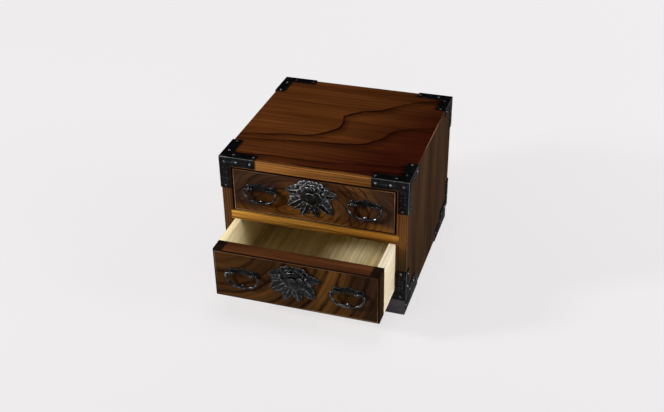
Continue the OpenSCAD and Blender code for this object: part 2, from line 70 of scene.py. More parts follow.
# Two greys that the lit paper drifts between, then its own paleness at two distances along y
PAPER_GREYS = ((0.78, 0.775, 0.785, 1), (0.82, 0.815, 0.825, 1))
PAPER_GLOWS = ((0.84, 0.822, 0.83, 1), (1.0, 0.98, 0.99, 1))
GLOW_NEAR = -0.5
GLOW_FAR = 1.4
# What the camera sees is mostly that paleness, with the soft shadow laid over it
GLOW_SHARE = 0.76

# The sky that lights the chest is weak. The one that the camera sees past the floor's edge is pale.
SKY_LIGHT = 0.15
SKY_SEEN = 0.85


def set_camera():
    bpy.ops.object.camera_add(location=CAMERA_PLACE)
    camera = bpy.context.object
    camera.name = "photo_camera"
    camera.rotation_euler = [radians(turn) for turn in CAMERA_TURN]
    camera.data.lens = CAMERA_LENS
    camera.data.sensor_width = FILM_WIDTH
    camera.data.clip_start = NEAREST
    camera.data.clip_end = FARTHEST
    bpy.context.scene.camera = camera


def soft_lamp(name, place, aim, size, power, colour):
    bpy.ops.object.light_add(type="AREA", location=place)
    lamp = bpy.context.object
    lamp.name = name
    lamp.data.shape = "SQUARE"
    lamp.data.size = size
    lamp.data.energy = power
    lamp.data.color = colour
    lamp.rotation_euler = (Vector(aim) - Vector(place)).to_track_quat("-Z", "Y").to_euler()


def make_floor():
    floor = added("plane", size=FLOOR_SIZE, location=(0, 0, 0))
    floor.name = "studio_floor"
    paper, skin, spot = blank_finish("floor_paper")
    tree = spot.tree
    lit = mix(cloud_noise(spot, 1.5), *PAPER_GREYS)
    feed(skin, {"Base Color": lit, "Roughness": 0.9, "Specular IOR Level": 0.1})
    pale = mix(spread(split_xyz(spot)[1], GLOW_NEAR, GLOW_FAR), *PAPER_GLOWS)
    glow = put(tree, "ShaderNodeEmission", {"Color": pale, "Strength": 1.0})
    path = put(tree, "ShaderNodeLightPath", {}, "Is Camera Ray")
    seen = larger(larger(path, path.beside("Is Glossy Ray")), path.beside("Is Transmission Ray"))
    feeds = {0: seen * GLOW_SHARE, 1: Wire(skin.outputs[0]), 2: glow}
    feed(tree.nodes["Material Output"], {"Surface": put(tree, "ShaderNodeMixShader", feeds)})
    floor.data.materials.append(paper)


def make_sky():
    world = bpy.data.worlds.new("soft_studio")
    world.use_nodes = True
    bpy.context.scene.world = world
    seen = put(world.node_tree, "ShaderNodeLightPath", {}, "Is Camera Ray")
    strength = spread(seen, 0, 1, SKY_LIGHT, SKY_SEEN)
    feed(world.node_tree.nodes["Background"], {"Color": (1.0, 1.0, 1.0, 1), "Strength": strength})


# Small tools for node trees

class Wire:
    """A node's output. A sum on wires makes a Math node, and what is made from a wire goes in its tree."""

    def __init__(self, socket):
        self.socket = socket
        self.tree = socket.id_data

    def beside(self, name):
        """Another output of the same node."""
        return Wire(self.socket.node.outputs[name])

    def reckon(self, operation, *others):
        return put(self.tree, "ShaderNodeMath", dict(enumerate((self, *others))), operation=operation)

    def __add__(self, other):
        return self.reckon("ADD", other)

    def __sub__(self, other):
        return self.reckon("SUBTRACT", other)

    def __mul__(self, other):
        return self.reckon("MULTIPLY", other)

    def __truediv__(self, other):
        return self.reckon("DIVIDE", other)

    def __abs__(self):
        return self.reckon("ABSOLUTE")


def feed(node, feeds):
    """Gives a node's sockets what they take: a wire or a value."""
    for name, value in feeds.items():
        if isinstance(value, Wire):
            value.tree.links.new(value.socket, node.inputs[name])
        else:
            node.inputs[name].default_value = value


def put(tree, kind, feeds, output=0, **settings):
    """One node with its settings and feeds. What comes back is one of its outputs."""
    node = tree.nodes.new(kind)
    for name, value in settings.items():
        setattr(node, name, value)
    feed(node, feeds)
    return Wire(node.outputs[output])


def larger(first, second):
    return first.reckon("MAXIMUM", second)


def between(value, low, high, start=0.0, end=1.0, step="SMOOTHSTEP"):
    """start below low, end above high, and a smooth step from one to the other."""
    feeds = {"Value": value, "From Min": low, "From Max": high, "To Min": start, "To Max": end}
    return put(value.tree, "ShaderNodeMapRange", feeds, "Result", interpolation_type=step)


def spread(value, low, high, start=0.0, end=1.0):
    """The same as between, in a straight line."""
    return between(value, low, high, start, end, "LINEAR")


def mix(share, first, second):
    return put(share.tree, "ShaderNodeMix", {0: share, 6: first, 7: second}, 2, data_type="RGBA")


def mix_all(share, first, second):
    """Two rows of colours, mixed pair by pair."""
    return [mix(share, a, b) for a, b in zip(first, second)]


def scaled(vector, factor):
    return put(factor.tree, "ShaderNodeVectorMath", {0: vector, "Scale": factor}, operation="SCALE")


def stretched(vector, scale):
    return put(vector.tree, "ShaderNodeMapping", {"Vector": vector, "Scale": scale})


def cloud_noise(vector, scale, detail=2.0, rough=0.5):
    feeds = {"Vector": vector, "Scale": scale, "Detail": detail, "Roughness": rough}
    return put(vector.tree, "ShaderNodeTexNoise", feeds, "Fac")


def split_xyz(vector):
    x = put(vector.tree, "ShaderNodeSeparateXYZ", {0: vector})
    return x, x.beside("Y"), x.beside("Z")


def joined_xyz(x, y, z):
    return put(x.tree, "ShaderNodeCombineXYZ", {"X": x, "Y": y, "Z": z})


def from_centre(x, z, centre, flatness=1.0):
    """Distance from a centre (x, z), and its two parts. flatness above 1 makes the rings wide ovals."""
    u = (x - centre[0]) / flatness
    w = z - centre[1]
    away = put(x.tree, "ShaderNodeVectorMath", {0: joined_xyz(u, 0.0, w)}, "Value", operation="LENGTH")
    return away, u, w


def drawn_curve(value, points, reach, sharp=False):
    """A curve through the given points. Both ways it covers -reach to reach."""
    drawn = put(value.tree, "ShaderNodeFloatCurve", {"Value": spread(value, -reach, reach)})
    mapping = drawn.socket.node.mapping
    curve = mapping.curves[0]
    places = [((a + reach) / (2 * reach), (b + reach) / (2 * reach)) for a, b in points]
    curve.points[0].location = places[0]
    curve.points[1].location = places[-1]
    for place in places[1:-1]:
        curve.points.new(*place)
    for point in curve.points:
        point.handle_type = "VECTOR" if sharp else "AUTO_CLAMPED"
    mapping.update()
    return spread(drawn, 0.0, 1.0, -reach, reach)


def new_group(name, numbers, colours):
    """A node group, its inputs as wires, and its last node, which takes colour, roughness and height."""
    group = bpy.data.node_groups.new(name, "ShaderNodeTree")
    inputs = {"Vector": "Vector", **dict.fromkeys(numbers, "Float"), **dict.fromkeys(colours, "Color")}
    for label, kind in inputs.items():
        group.interface.new_socket(name=label, in_out="INPUT", socket_type="NodeSocket" + kind)
    for label, kind in (("Color", "Color"), ("Roughness", "Float"), ("Height", "Float")):
        group.interface.new_socket(name=label, in_out="OUTPUT", socket_type="NodeSocket" + kind)
    given = {socket.name: Wire(socket) for socket in group.nodes.new("NodeGroupInput").outputs}
    return group, given, group.nodes.new("NodeGroupOutput")


# Finishes

# How fine each noise of a board is, per metre: along the grain, across it and into the board
BROAD = (5, 15, 15)
SHAKEN = (22, 110, 110)
TONE = (3, 24, 24)
FIBRE = (26, 950, 950)
STREAK = (7, 240, 240)
GRIT = (170, 2600, 2600)
# How far a board's seed moves it through those noises
SEED_STEP = (0.37, 0.11, 0.23)


def make_timber_group():
    """Figure of a planed board. The vector's X runs along the grain, Y across it and Z into the board."""
    numbers = ("Spacing", "Sway", "Seed", "Line", "Streak")
    group, given, last = new_group("timber", numbers, ("Pale", "Body", "Deep"))
    moved = put(group, "ShaderNodeVectorMath", {0: given["Vector"], 1: scaled(SEED_STEP, given["Seed"])})
    y = split_xyz(given["Vector"])[1]

    def noise(fineness, detail, rough=0.5):
        return cloud_noise(stretched(moved, fineness), 1.0, detail, rough)

    # Rings, counted across the grain. In each the late wood darkens slowly and ends sharply.
    sway = (noise(BROAD, 2.0) - 0.5) * given["Sway"]
    jitter = (noise(SHAKEN, 3.0, 0.6) - 0.5) * 0.38
    rings = (sway * 2.0 + y) / given["Spacing"] + jitter
    number = rings.reckon("FLOOR")
    part = rings.reckon("FRACT")
    feeds = {"W": number + given["Seed"]}
    chance = put(group, "ShaderNodeTexWhiteNoise", feeds, "Value", noise_dimensions="1D")
    late = between(part, 0.25, 0.9).reckon("POWER", 2.6) * between(part, 0.92, 1.0, 1.0, 0.0)
    line = late * (chance * 0.8 + 0.2) * given["Line"]

    fibre = noise(FIBRE, 3.0, 0.7)
    pore = between(noise(GRIT, 1.0), 0.6, 0.74)
    streak = (noise(STREAK, 3.0, 0.6) - 0.5) * given["Streak"]
    colour = mix(between(noise(TONE, 3.0), 0.3, 0.7), given["Pale"], given["Body"])
    colour = mix(line, colour, given["Deep"])
    colour = scaled(colour, (fibre * 0.5 + 0.75) * (streak * 2.2 + 1.0))
    colour = mix(pore * 0.45, colour, given["Deep"])
    rough = fibre * 0.16 + 0.3 + pore * 0.14
    height = fibre * 0.35 - pore * 0.6 - line * 0.25
    feed(last, {"Color": colour, "Roughness": rough, "Height": height})
    return group


# How fine each mark on iron is, per metre
DENTS = 240.0
ROLLS = 90.0
SCALE = 1500.0
PATCHES = 130.0


def make_iron_group():
    """Skin of blackened iron: soft hammer marks, fine scale, and patches that handling has rubbed."""
    numbers = ("Rub", "Hammer", "Rough")
    group, given, last = new_group("blackened_iron", numbers, ("Black", "Rubbed"))
    spot = given["Vector"]
    feeds = {"Vector": spot, "Scale": DENTS, "Smoothness": 0.8}
    dents = put(group, "ShaderNodeTexVoronoi", feeds, "Distance", feature="SMOOTH_F1")
    rolls = cloud_noise(spot, ROLLS, 3.0)
    scale = cloud_noise(spot, SCALE, 3.0, 0.65)
    patch = between(cloud_noise(spot, PATCHES, 4.0, 0.7), 0.45, 0.72)
    colour = mix(patch * given["Rub"], given["Black"], given["Rubbed"])
    feed(last, {
        "Color": scaled(colour, scale * 0.7 + 0.65),
        "Roughness": scale * 0.2 + given["Rough"] + rolls * 0.12,
        "Height": dents * given["Hammer"] * 0.8 + scale * 0.12 + rolls * 0.35,
    })
    return group


TIMBER = make_timber_group()
IRON = make_iron_group()

# Bump of each: its strength, and its depth in metres
WOOD_BUMP = (0.25, 0.0004)
IRON_BUMP = (0.3, 0.0005)


def blank_finish(name):
    """A material, its skin, and the place on the object."""
    finish = bpy.data.materials.new(name)
    finish.use_nodes = True
    tree = finish.node_tree
    return finish, tree.nodes["Principled BSDF"], put(tree, "ShaderNodeTexCoord", {}, "Object")


def lay_skin(skin, given, colour, bump, shine):
    """Feeds a skin its colour, the roughness and bump that a group gives, and how it shines."""
    feeds = {"Height": given.beside("Height"), "Strength": bump[0], "Distance": bump[1]}
    normal = put(given.tree, "ShaderNodeBump", feeds)
    feed(skin, {"Base Color": colour, "Roughness": given.beside("Roughness"), "Normal": normal, **shine})


def wood_finish(name, lay, tones, seed, spacing=0.014, sway=0.006, line=0.75, streak=0.5, sheen=0.04,
                strokes=None):
    """lay gives the grain's vector. tones is the pale, body and deep colour as shown on a screen, or a
    function that gives them by place. strokes draws dark lines over the colour."""
    finish, skin, spot = blank_finish(name)
    place = split_xyz(spot)
    pale, body, deep = tones(*place) if callable(tones) else tints(*tones)
    feeds = {
        "Vector": lay(*place), "Spacing": spacing, "Sway": sway, "Seed": seed, "Line": line,
        "Streak": streak, "Pale": pale, "Body": body, "Deep": deep,
    }
    timber = put(spot.tree, "ShaderNodeGroup", feeds, "Color", node_tree=TIMBER)
    colour = strokes(*place, timber) if strokes else timber
    lay_skin(skin, timber, colour, WOOD_BUMP, {"Specular IOR Level": sheen})
    return finish


def iron_finish(name, black, rubbed, rub, hammer, rough=0.26, metallic=0.9, rims=None):
    """Blackened iron. A casting has rims: how bright its proud parts are painted, as rubbing wear and
    painted highlight.
    """
    finish, skin, spot = blank_finish(name)
    feeds = {"Vector": spot, "Rub": rub, "Hammer": hammer, "Rough": rough, "Black": black, "Rubbed": rubbed}
    iron = put(spot.tree, "ShaderNodeGroup", feeds, "Color", node_tree=IRON)
    colour = iron
    shine = {"Metallic": metallic, "Specular IOR Level": 0.05, "Specular Tint": grey(0.3)}
    if rims:
        proud = put(spot.tree, "ShaderNodeAttribute", {}, "Fac", attribute_name="proud")
        patch = between(cloud_noise(spot, 210.0, 2.0, 0.6), 0.4, 0.62, 0.12, 1.0)
        colour = mix(between(proud, 0.15, 1.0) * patch, iron, grey(rims))
        shine = {"Metallic": metallic, "Specular IOR Level": 0.15}
    lay_skin(skin, iron, colour, IRON_BUMP, shine)
    return finish


def grey(value):
    """Grey with the slight blue of iron."""
    return (value * 0.97, value * 0.985, value * 1.03, 1)


def tint(*shown):
    """A colour as it shows on a screen, 0 to 255, as the value that a socket takes."""
    parts = [v / 255 for v in shown]
    return (*(v / 12.92 if v <= 0.04 else ((v + 0.055) / 1.055) ** 2.4 for v in parts), 1)


def tints(*colours):
    return [tint(*colour) for colour in colours]


# How the grain lies: each gives (along the grain, across it, depth)

def along_x(x, y, z):
    return joined_xyz(x, z - y, y)


def upright(x, y, z):
    return joined_xyz(z, y + x, x)


def front_to_back(x, y, z):
    return joined_xyz(y, x + z, z)


# Where grain runs round a centre, this many metres along it make one radian
GRAIN_RADIUS = 0.12


def round_centre(x, y, z, centre, flatness=1.0):
    away, u, w = from_centre(x, z, centre, flatness)
    return joined_xyz(w.reckon("ARCTAN2", u) * GRAIN_RADIUS, away + y, y)


# Centres (x, z) on the upper and the lower front
OVAL = ((-0.022, 0.168), 1.9)
ARC_CENTRE = (-0.124, 0.169)


def round_oval(x, y, z):
    return round_centre(x, y, z, *OVAL)


def round_arcs(x, y, z):
    return round_centre(x, y, z, ARC_CENTRE)


# Top board: dark lines of the figure, as places (x, y) in millimetres. They step back near the middle.
TOP_LINES = (
    [(-190, -80), (-140, -70), (-89, -58), (-20, -36), (-1, -15), (0, 10), (-2, 36), (11, 49), (57, 76),
     (80, 99), (137, 133), (160, 150)],
    [(-190, -97), (-145, -87), (-82, -78), (-31, -69), (30, -60), (57, -50), (77, -29), (89, -1), (105, 12),
     (143, 27), (190, 40)],
    [(-150, -140), (-98, -132), (-72, -127), (-44, -128), (10, -126), (61, -119), (134, -106), (190, -95)],
    [(-190, -136), (-100, -143), (-30, -146), (40, -143), (110, -130), (190, -122)],
)
# Each line is three strokes: how far beside it, how wide and how dark
TOP_STROKES = ((0.0, 0.0042, 0.95), (-0.0068, 0.0024, 0.55), (-0.0135, 0.0018, 0.4))
TOP_REACH = 0.2
HALF_DIAGONAL = 0.7071
# The lines fade in between these heights, so that they lie on the top face alone
TOP_FADE = (0.2405, 0.2408)

# Lower front: how far each dark ring is from the centre of the arcs, in millimetres, and how dark it is
LOWER_RINGS = (
    (60, 0.5), (77, 0.9), (103, 0.8), (117, 0.95), (149, 0.95), (165, 0.8), (182, 1.0), (203, 0.95),
    (224, 0.75), (245, 0.9), (264, 0.5),
)
# How dark a ring is, from inside it to outside it, in metres
RING_PROFILE = ((-0.0078, 0.0), (-0.0052, 0.4), (-0.0032, 1.0), (0.0, 1.0), (0.0012, 0.0))
LOWER_REACH = 0.3
LOWER_FACE_Y = -0.2425

# Upper front: a bow of the figure on the right, as places (z, x) in millimetres, and its echoes beside it,
# as how far in millimetres and how dark
UPPER_BOW = [(120, 34), (148, 50), (158, 62), (172, 73), (188, 77), (205, 71), (222, 60), (240, 50)]
UPPER_ECHOES = ((-46, 0.5), (-34, 0.75), (-21, 0.6), (-7, 0.85), (4, 0.5), (17, 0.7), (33, 0.45))
UPPER_MIDDLE = 180
UPPER_REACH = 0.1


def top_lines(x, y, z, colour):
    """The lines are drawn across the diagonal, where each has one place only."""
    along = (x + y) * HALF_DIAGONAL
    across = (y - x) * HALF_DIAGONAL
    spot = joined_xyz(x, y, z)
    wobble = cloud_noise(spot, 70.0, 3.0) - 0.5
    strength = between(cloud_noise(spot, 14.0, 2.0), 0.3, 0.62, 0.55, 1.0)
    top = between(z, *TOP_FADE)
    for line in TOP_LINES:
        drawn = [((a + b) * HALF_DIAGONAL * MM, (b - a) * HALF_DIAGONAL * MM) for a, b in line]
        drawn = [(max(-TOP_REACH, min(TOP_REACH, a)), b) for a, b in drawn]
        gap = across - drawn_curve(along, drawn, TOP_REACH) + wobble * 0.005
        dark = between(gap, -0.024, 0.0) * between(gap, 0.0, 0.002, 0.55, 0.0)
        for offset, width, weight in TOP_STROKES:
            dark = larger(dark, between(abs(gap - offset), width * 0.35, width, weight, 0.0))
        colour = mix(dark * strength * top, colour, tint(22, 5, 3))
    return colour


def lower_lines(x, y, z, colour):
    """Dark rings round the centre of the arcs. Each darkens slowly outwards and ends sharply."""
    spot = joined_xyz(x, y * 0.3, z)
    wobble = cloud_noise(spot, 28.0, 3.0, 0.6) - 0.5
    away = from_centre(x, z, ARC_CENTRE)[0] + wobble * 0.011 + (y - LOWER_FACE_Y) * 0.8
    profile = [(0.0, 0.0)]
    for radius, weight in LOWER_RINGS:
        profile += [(radius * MM + step, LOWER_REACH * weight * depth) for step, depth in RING_PROFILE]
    profile.append((LOWER_REACH, 0.0))
    dark = drawn_curve(away, profile, LOWER_REACH, True) / LOWER_REACH
    patchy = between(cloud_noise(spot, 45.0, 2.0), 0.35, 0.6, 0.75, 1.0)
    return mix(dark * patchy, colour, tint(22, 9, 4))


def upper_lines(x, y, z, colour):
    """Bows to the right of the peony. Each darkens slowly from the left and ends sharply."""
    spot = joined_xyz(x, y * 0.3, z)
    wobble = cloud_noise(spot, 38.0, 3.0, 0.6) - 0.5
    bow = [((a - UPPER_MIDDLE) * MM, b * MM) for a, b in UPPER_BOW]
    gap = x - drawn_curve(z - UPPER_MIDDLE * MM, bow, UPPER_REACH) + wobble * 0.018
    dark = 0.0
    for offset, weight in UPPER_ECHOES:
        beside = gap - offset * MM
        dark = larger(between(beside, -0.004, -0.0012) * between(beside, 0.0, 0.001, weight, 0.0), dark)
    patchy = between(cloud_noise(spot, 40.0, 2.0), 0.38, 0.58, 0.25, 1.0)
    return mix(dark * patchy, colour, tint(28, 13, 6))


# Colours by place: each gives the pale, the body and the deep one

def top_zones(x, y, z):
    """Reddish brown, darker towards the front, redder and darker to the right, golden on the front edge."""
    near = between(y, -0.13, 0.0, 1.0, 0.0)
    red = between(y * -0.45 + x, -0.02, 0.15)
    wave = cloud_noise(stretched(joined_xyz(x, y, z), (30, 30, 1)), 1.0, 3.0) - 0.5
    front = between(x * 0.02 + (wave * 0.012 + y), -0.1495, -0.1435, 0.9, 0.0)
    back_tones = tints((95, 53, 22), (73, 38, 15), (38, 15, 7))
    tones = mix_all(near, back_tones, tints((82, 43, 18), (60, 29, 12), (38, 15, 7)))
    tones = mix_all(red, tones, tints((62, 22, 10), (42, 14, 7), (24, 7, 4)))
    return mix_all(front, tones[:2], tints((142, 92, 44), (98, 58, 24))) + tones[2:]


def stile_zones_with_painted_shade(x, y, z):
    """Golden brown, and browner on the left. Lower down it is duller, as painted shade cast by the open
    lower drawer.
    """
    # Painted shade of the open lower drawer on the stile's lower part
    low = between(z, 0.09, 0.15, 1.0, 0.0)
    right = between(x, 0.0, 0.1)
    left_tones = tints((100, 62, 30), (62, 35, 16), (32, 16, 8))
    tones = mix_all(right, left_tones, tints((134, 88, 42), (84, 49, 21), (32, 16, 8)))
    return mix_all(low, tones, tints((74, 56, 32), (47, 34, 19), (28, 18, 10)))


def upper_zones(x, y, z):
    """Amber round the centre of the ovals and along the foot, grey brown above on the left."""
    wave = cloud_noise(joined_xyz(x, y, z), 26.0, 3.0) - 0.5
    away = from_centre(x, z, *OVAL)[0]
    amber = between(away + wave * 0.05, 0.014, 0.05, 0.85, 0.0)
    foot = between(z + wave * 0.02, 0.15, 0.166, 0.8, 0.0)
    right = between(x, -0.01, 0.05) * between(x, 0.075, 0.115, 0.3, 0.0)
    grey_tones = tints((68, 46, 32), (46, 28, 18), (22, 12, 7))
    amber_tones = tints((138, 88, 32), (84, 48, 16), (28, 12, 4))
    return mix_all(larger(larger(amber, foot), right), grey_tones, amber_tones)


def lower_zones(x, y, z):
    """Brown, more olive to the right of the peony, and darker at the right end."""
    olive = between(x, 0.02, 0.045) * between(x, 0.07, 0.095, 1.0, 0.0)
    end = between(x, 0.085, 0.115)
    brown_tones = tints((76, 48, 22), (48, 29, 13), (24, 12, 6))
    tones = mix_all(olive, brown_tones, tints((98, 64, 27), (62, 40, 16), (24, 12, 6)))
    return mix_all(end, tones, tints((56, 36, 22), (34, 22, 14), (24, 12, 6)))


def edge_zones(x, y, z):
    """The top edge of a drawer front: reddish brown, and blackish at both ends."""
    ends = between(abs(x), 0.115, 0.118)
    red_tones = tints((98, 57, 32), (62, 34, 18), (28, 14, 8))
    return mix_all(ends, red_tones, tints((34, 23, 16), (22, 15, 11), (28, 14, 8)))


def worn_and_highlit_zones(x, y, z):
    """Pale in places, and brown between them: rubbing wear, and a painted highlight along the arrises it
    lies on.
    """
    rubbed = between(cloud_noise(joined_xyz(x, y, z), 11.0, 2.0), 0.4, 0.62)
    brown_tones = tints((80, 52, 31), (58, 35, 20), (32, 19, 11))
    return mix_all(rubbed, brown_tones, tints((162, 128, 97), (118, 85, 61), (76, 50, 33)))


CREAM = ((236, 225, 202), (218, 202, 168), (160, 134, 98))
# A brighter, warmer copy of the cream for the left linings and the floors: painted light where the lamps
# fall on them
PAINTED_LIT_CREAM = ((250, 236, 192), (232, 212, 160), (160, 130, 80))

# Woods: how the grain lies, its tones, its seed, the rings' spacing and sway in metres, how dark the lines
# and streaks are, its sheen, and the strokes drawn on it
WOODS = {
    "oiled_top": (along_x, top_zones, 3.1, 0.011, 0.012, 0.35, 0.7, 0.0, top_lines),
    "golden_edge": (along_x, ((156, 104, 50), (112, 68, 26), (58, 30, 12)), 6.6, 0.0045, 0.004, 0.8, 0.9),
    "golden_stile": (upright, stile_zones_with_painted_shade, 8.8, 0.004, 0.003, 0.8, 1.3),
    "dull_side": (upright, ((68, 49, 35), (48, 34, 24), (24, 16, 11)), 5.7, 0.009, 0.008, 0.4, 0.5, 0.0),
    "oiled_bottom": (along_x, ((126, 82, 38), (88, 52, 22), (40, 22, 10)), 2.2),
    "golden_rail": (along_x, ((216, 162, 72), (144, 94, 32), (48, 25, 8)), 7.3, 0.0065, 0.014, 1.0, 1.5),
    "dark_plinth": (along_x, ((76, 46, 27), (54, 32, 19), (24, 13, 9)), 1.4),
    "flamed_front": (round_oval, upper_zones, 4.4, 0.0085, 0.03, 0.65, 0.8, 0.01, upper_lines),
    "fanned_front": (round_arcs, lower_zones, 9.2, 0.007, 0.01, 0.25, 0.7, 0.01, lower_lines),
    "front_top_edge": (along_x, edge_zones, 7.7, 0.004, 0.003, 0.7, 0.9, 0.0),
    "front_end": (upright, ((62, 48, 30), (44, 32, 19), (24, 16, 10)), 2.9, 0.004, 0.006, 0.6, 0.5, 0.0),
    "plain_back": (upright, ((104, 74, 48), (78, 52, 34), (40, 26, 18)), 6.1),
    "bare_lining_sides": (front_to_back, CREAM, 8.5, 0.006, 0.003, 0.35, 0.3),
    "bare_lining_left_painted_lit": (front_to_back, PAINTED_LIT_CREAM, 4.5, 0.006, 0.003, 0.2, 0.2),
    "bare_lining_floor_painted_lit": (front_to_back, PAINTED_LIT_CREAM, 1.9, 0.004, 0.003, 0.45, 0.5),
    "bare_lining_back": (along_x, CREAM, 2.8, 0.007, 0.003, 0.35, 0.3),
    # Pale arrises: wear, and a painted highlight along them
    "worn_and_highlit_arris": (along_x, worn_and_highlit_zones, 3.7, 0.009, 0.006, 0.4),
    # Painted shadow of the gaps round the drawers, laid on their chamfers and on the arrises of the
    # openings
    "painted_gap_shadow": (along_x, ((32, 19, 12), (20, 11, 7), (10, 6, 4)), 5.2, 0.009, 0.006, 0.4, 0.5, 0.0),
}
woods = {name: wood_finish(name, *row) for name, row in WOODS.items()}

# The plinth irons' fronts are painted lilac grey, paler than the other iron, as a painted reflection of the
# pale floor
LILAC_PAINTED_REFLECTION = ((0.068, 0.061, 0.07, 1), (0.115, 0.107, 0.12, 1))
sheet_iron = iron_finish("blackened_sheet", grey(0.01), grey(0.05), 0.5, 1.0)
plinth_sheet_painted_reflection = iron_finish("sheet_with_painted_reflection", *LILAC_PAINTED_REFLECTION, 0.6, 1.0, 0.34, 0.4)
# Folds and plate edges are painted paler: wear, and a painted highlight along them
highlit_fold_iron = iron_finish("worn_and_highlit_fold", grey(0.09), grey(0.25), 0.7, 0.4)
mark_iron = iron_finish("chased_marks", grey(0.03), grey(0.2), 0.7, 0.2, 0.2)
nail_iron = iron_finish("rubbed_nails", grey(0.05), grey(0.4), 0.8, 0.4, 0.12)
bail_iron = iron_finish("handled_rod", grey(0.03), grey(0.34), 0.45, 0.2, 0.06)
# One casting in a lit and a shaded copy: the upper painted lighter, the lower darker, with painted
# highlights on their proud parts
castings_painted_per_level = {
    "upper": iron_finish("upper_casting_painted_lighter", grey(0.018), grey(0.072), 0.5, 0.3, 0.18, 0.85, 0.6),
    "lower": iron_finish("lower_casting_painted_darker", grey(0.009), grey(0.036), 0.5, 0.3, 0.18, 0.85, 0.18),
}


# Small tools for pieces

# Points nearer than this are one
WELD = 0.000005
# How wide an arris is taken off a board, and how wide one is only softened
EASED = 0.0004
SOFTENED = 0.0003
# Material slots of a board: its face, its arrises, the arrises painted dark as painted shadow of the gaps,
# its front or top edge, its ends
FACE, ARRIS, GAP_SHADOW, EDGE, END = range(5)


def take_up(obj):
    """Selects this object alone."""
    bpy.ops.object.select_all(action="DESELECT")
    obj.select_set(True)
    bpy.context.view_layer.objects.active = obj


def edit(obj):
    take_up(obj)
    bpy.ops.object.mode_set(mode="EDIT")
    bpy.ops.mesh.select_all(action="SELECT")


def done():
    bpy.ops.object.mode_set(mode="OBJECT")


def added(kind, **settings):
    """A new primitive."""
    getattr(bpy.ops.mesh, f"primitive_{kind}_add")(**settings)
    return bpy.context.object


def pick(obj, kind, wanted):
    """In edit mode, selects the edges or faces for which wanted is true."""
    bpy.ops.mesh.select_mode(type=kind[:-1].upper())
    bpy.ops.mesh.select_all(action="DESELECT")
    mesh = bmesh.from_edit_mesh(obj.data)
    for item in getattr(mesh, kind):
        if wanted(item):
            item.select = True
    mesh.select_flush_mode()
    bmesh.update_edit_mesh(obj.data)


def paint(obj, number):
    """In edit mode, gives the selected faces this material slot."""
    obj.active_material_index = number
    bpy.ops.object.material_slot_assign()


def slots_for(obj, count):
    while len(obj.data.materials) < count:
        obj.data.materials.append(None)


def weld(obj):
    """Joins points that meet and turns the faces outward."""
    edit(obj)
    bpy.ops.mesh.remove_doubles(threshold=WELD)
    bpy.ops.mesh.normals_make_consistent(inside=False)
    done()


def carve(obj, kind, **settings):
    """Adds a modifier and applies it."""
    take_up(obj)
    modifier = obj.modifiers.new(kind.lower(), kind)
    for name, value in settings.items():
        setattr(modifier, name, value)
    bpy.ops.object.modifier_apply(modifier=modifier.name)


def settle(obj):
    """Puts the object's place, turn and size into its mesh."""
    take_up(obj)
    bpy.ops.object.transform_apply(location=True, rotation=True, scale=True)


def fit_out(obj, made, node, body, finishes, smooth=40):
    """Names a piece by how it's made and the node that it stands for, and gives it all that it needs."""
    obj.name = f"{made}_{node}"
    obj.data.name = obj.name
    take_up(obj)
    bpy.ops.object.shade_smooth_by_angle(angle=radians(smooth))
    slots_for(obj, len(finishes))
    for number, finish in enumerate(finishes):
        obj.data.materials[number] = finish
    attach(obj, body)
    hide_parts(node)


def copy_of(obj, matrix):
    twin = obj.copy()
    twin.data = obj.data.copy()
    bpy.context.scene.collection.objects.link(twin)
    twin.data.transform(matrix)
    if matrix.determinant() < 0:
        twin.data.flip_normals()
    return twin


def merged_copy(node):
    """A copy of a solid of the frame, with its loose triangles merged into whole faces."""
    twin = bpy.data.objects.new(node + "_copy", nodes[node].data.copy())
    bpy.context.scene.collection.objects.link(twin)
    edit(twin)
    bpy.ops.mesh.remove_doubles(threshold=0.00001)
    bpy.ops.mesh.dissolve_limited(angle_limit=radians(1))
    done()
    twin.data.materials.clear()
    return twin


def join(parts):
    take_up(parts[0])
    for part in parts:
        part.select_set(True)
    bpy.ops.object.join()
    settle(parts[0])
    return parts[0]


def square_edge(low, high):
    """Finds edges whose two faces turn by low to high degrees."""
    low, high = radians(low), radians(high)
    return lambda edge: len(edge.link_faces) == 2 and low < edge.calc_face_angle(0.0) < high


def bevel(width, segments=2, material=-1):
    bpy.ops.mesh.bevel(
        offset=width, segments=segments, affect="EDGES", clamp_overlap=False, material=material)


def eased(node, cuts=(), slots=2):
    """A board with its square arrises taken off. cuts are planes, as a point and an outward normal, that a
    long corner is planed down to."""
    board = merged_copy(node)
    slots_for(board, slots)
    edit(board)
    for point, normal in cuts:
        bpy.ops.mesh.select_all(action="SELECT")
        bpy.ops.mesh.bisect(plane_co=point, plane_no=normal, use_fill=True, clear_outer=True)
    pick(board, "edges", square_edge(50, 100))
    bevel(EASED, material=ARRIS)
    for point, normal in cuts:
        way = Vector(normal).normalized()
        pick(board, "faces", lambda face: face.normal.dot(way) > 0.98)
        paint(board, ARRIS)
    done()
    return board


# Boards

# How deep the planes lie that the carcase's four long corners are planed down to
PLANED_OFF = 0.0004

BOARDS = {
    "top_board": "oiled_top", "bottom_board": "oiled_bottom", "left_side_board": "dull_side",
    "right_side_board": "dull_side", "back_panel": "plain_back", "mid_rail": "golden_rail",
    "left_runner": "bare_lining_sides", "right_runner": "bare_lining_sides",
    "dust_shelf": "bare_lining_floor_painted_lit", "plinth_front": "dark_plinth", "plinth_back": "dark_plinth",
    "plinth_left": "dull_side", "plinth_right": "dull_side",
}
LININGS = {
    "left_side": "bare_lining_left_painted_lit", "right_side": "bare_lining_sides", "back": "bare_lining_back",
    "floor": "bare_lining_floor_painted_lit",
}
FRONTS = {"upper": "flamed_front", "lower": "fanned_front"}


def some(*names):
    return [woods[name] for name in names]


